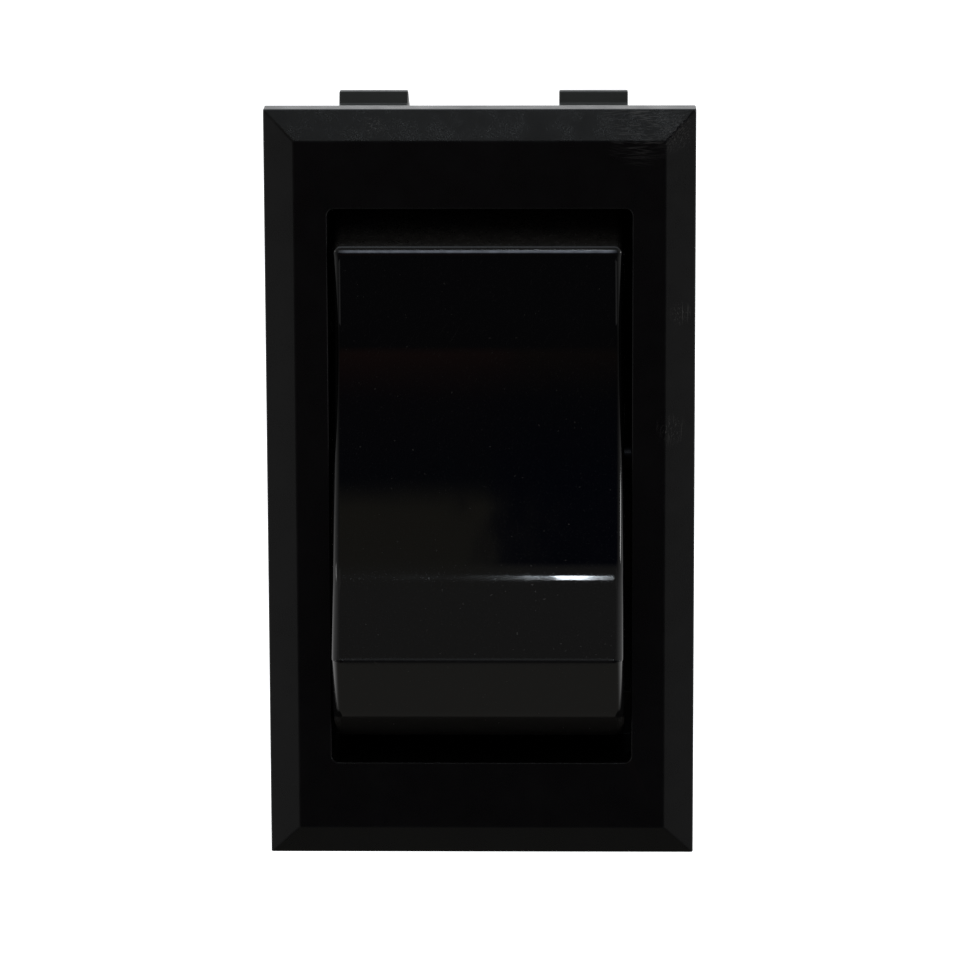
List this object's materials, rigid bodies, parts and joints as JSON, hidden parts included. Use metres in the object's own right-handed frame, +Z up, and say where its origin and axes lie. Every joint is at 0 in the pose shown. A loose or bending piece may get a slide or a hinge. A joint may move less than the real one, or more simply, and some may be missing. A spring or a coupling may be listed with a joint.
{
  "type": "rocker switch",
  "caption": "Panel-mounted two-pole rocker switch: bevelled black bezel, glossy concave rocker, snap-in housing with retaining fingers, and flat connector tabs at the back.",
  "frame": {"origin": "centre of the panel cut-out, in the plane of the panel's front face, where the bezel's rear face seats", "axes": "+X to the right across the switch, +Z up along its long side, +Y into the wall"},
  "size_m": [0.0286, 0.0418, 0.0508],
  "materials": {
    "bezel": "fine-grained black nylon",
    "housing": "black nylon",
    "base": "brown phenolic",
    "rocker": "glossy black",
    "carrier": "dark grey nylon",
    "plunger": "amber acetal",
    "steel": "plain steel",
    "spring": "spring steel",
    "copper": "copper alloy",
    "silver": "silver alloy",
    "brass": "brass",
    "pins": "black-oxide steel"
  },
  "bodies": {
    "switch_body": {"bezel": "bezel", "housing": "housing", "base": "base", "base_screws": "steel", "common_terminal_left": "brass", "common_terminal_right": "brass", "load_terminal_left": "brass", "load_terminal_right": "brass", "load_contact_left": "silver", "load_contact_right": "silver"},
    "rocker": {"rocker_cap": "rocker", "rocker_carrier": "carrier", "pivot_pins": "pins", "plunger_spring_left": "spring", "plunger_spring_right": "spring"},
    "plunger_left": {"plunger_left": "plunger"},
    "lever_left": {"lever_left": "copper", "lever_tip_left": "silver"},
    "plunger_right": {"plunger_right": "plunger"},
    "lever_right": {"lever_right": "copper", "lever_tip_right": "silver"}
  },
  "joints": [
    {"name": "rocker_tilt", "type": "hinge", "parent": "switch_body", "child": "rocker", "pos_m": [0, 0.0078, 0], "axis": [1, 0, 0], "range_deg": [0, 24]},
    {"name": "plunger_slide_left", "type": "slide", "parent": "rocker", "child": "plunger_left", "axis": [0, 0.9781, -0.2079], "range_m": [-0.0012, 0], "stiffness_N_per_m": 500, "springref_m": 0.003, "deforming": ["plunger_spring_left"]},
    {"name": "plunger_slide_right", "type": "slide", "parent": "rocker", "child": "plunger_right", "axis": [0, 0.9781, -0.2079], "range_m": [-0.0012, 0], "stiffness_N_per_m": 500, "springref_m": 0.003, "deforming": ["plunger_spring_right"]},
    {"name": "lever_tilt_left", "type": "hinge", "parent": "switch_body", "child": "lever_left", "pos_m": [-0.005, 0.01873, 0], "axis": [1, 0, 0], "range_deg": [-16, 0]},
    {"name": "lever_tilt_right", "type": "hinge", "parent": "switch_body", "child": "lever_right", "pos_m": [0.005, 0.01873, 0], "axis": [1, 0, 0], "range_deg": [-16, 0]}
  ],
  "couplings": [
    {"joint": "lever_tilt_left", "follows": "rocker_tilt", "ratio": -0.66667},
    {"joint": "lever_tilt_right", "follows": "rocker_tilt", "ratio": -0.66667}
  ]
}
